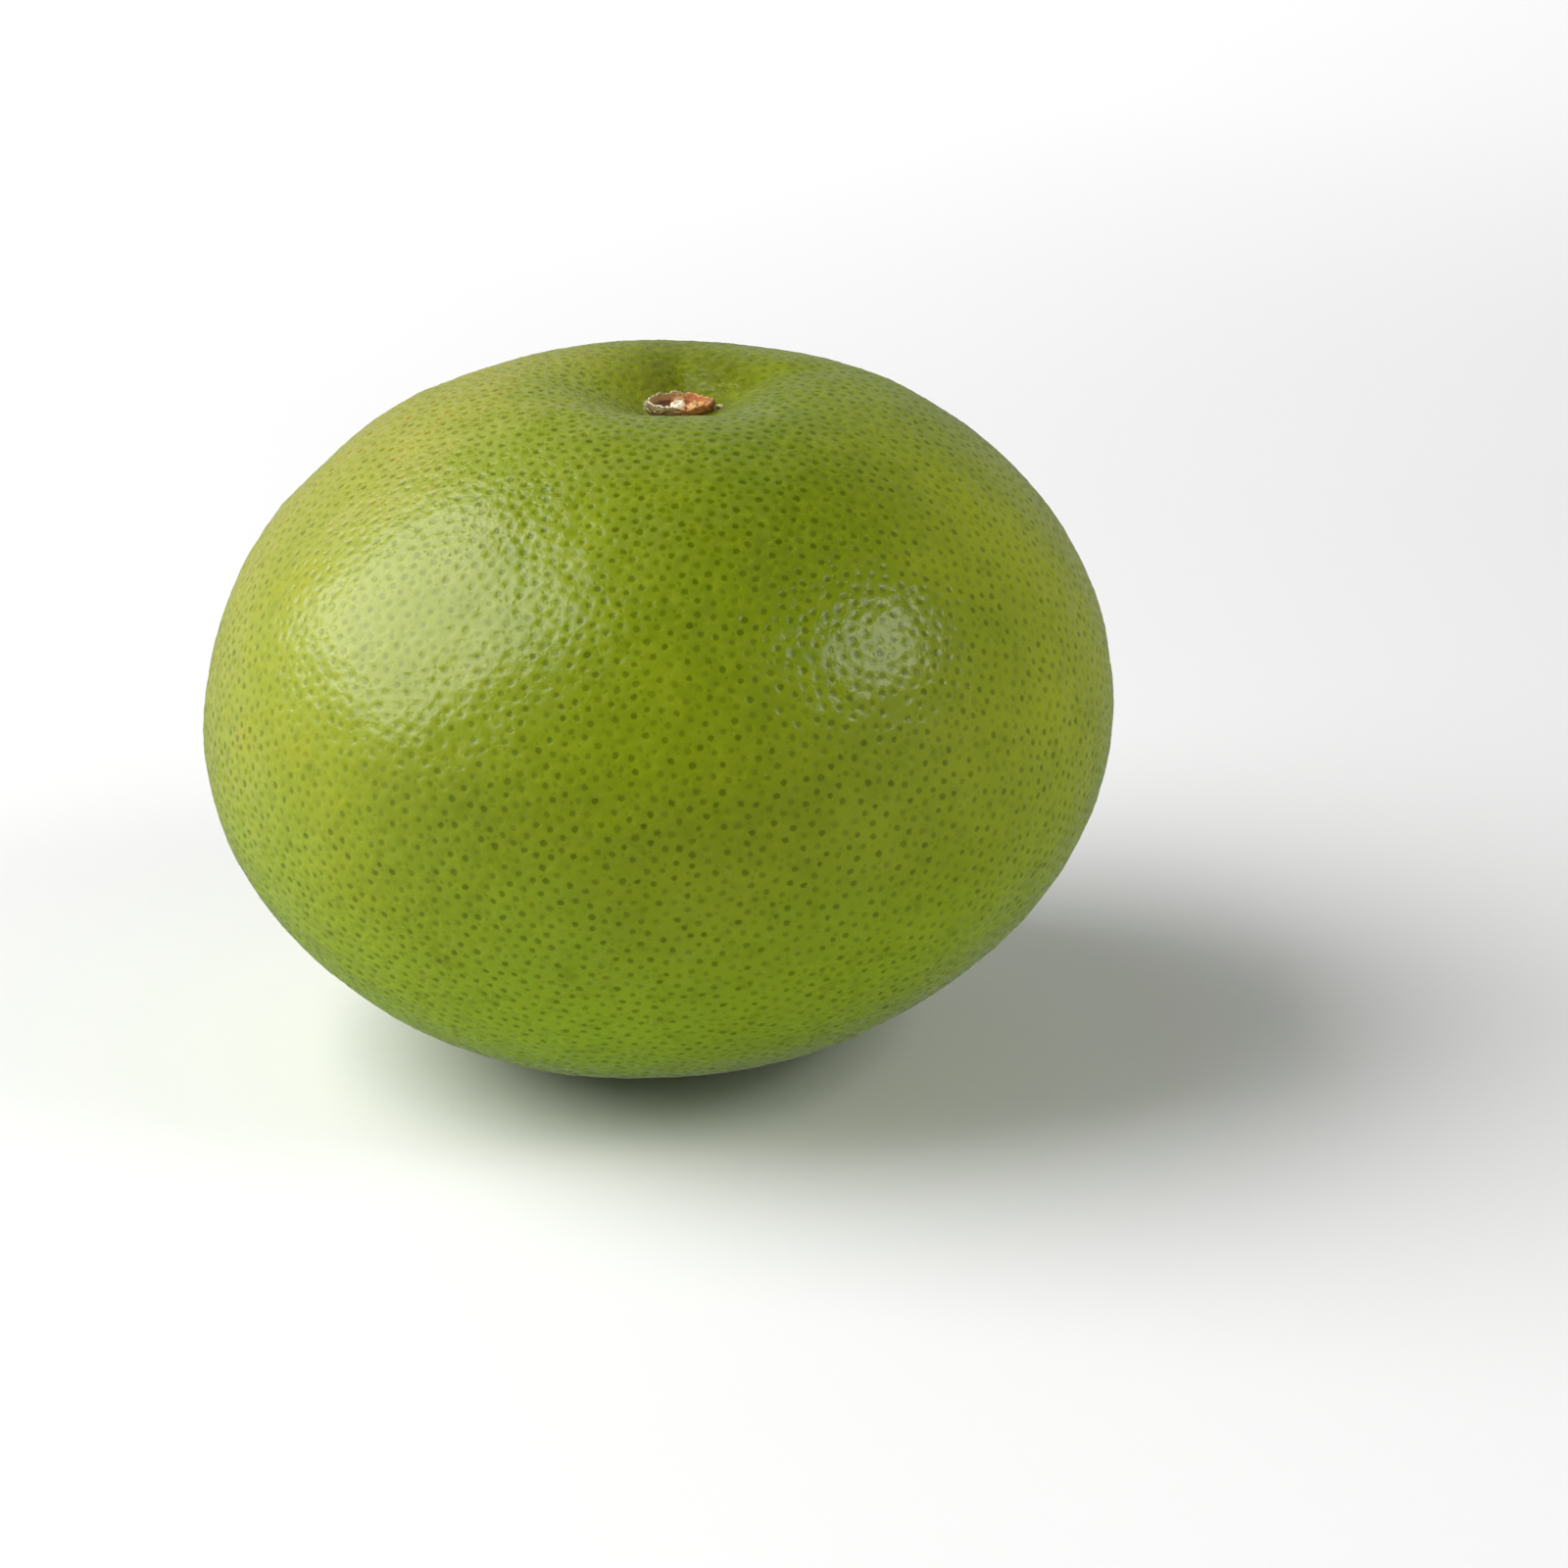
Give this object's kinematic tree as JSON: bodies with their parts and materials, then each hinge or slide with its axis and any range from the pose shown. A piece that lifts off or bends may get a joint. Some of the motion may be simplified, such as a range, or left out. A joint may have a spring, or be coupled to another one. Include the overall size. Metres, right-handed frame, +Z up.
{
  "type": "pomelo",
  "caption": "Whole green pomelo, wider than tall, with pitted rind, a creased stem hollow and a dry woody stem button, resting on a small flat spot.",
  "frame": {"origin": "on the surface that the fruit rests on, under the middle of its girth", "axes": "+Z up through the stem end; -Y is the front, the side that the picture looks at"},
  "size_m": [0.14, 0.1402, 0.1057],
  "materials": {
    "green_rind": "waxy green citrus rind, yellower on one shoulder, with darker oil glands",
    "dry_stalk": "dry, fibrous and torn, tan and orange brown with a pale pith"
  },
  "bodies": {
    "root": {"fruit": "green_rind", "stem_button": "dry_stalk"}
  },
  "joints": []
}
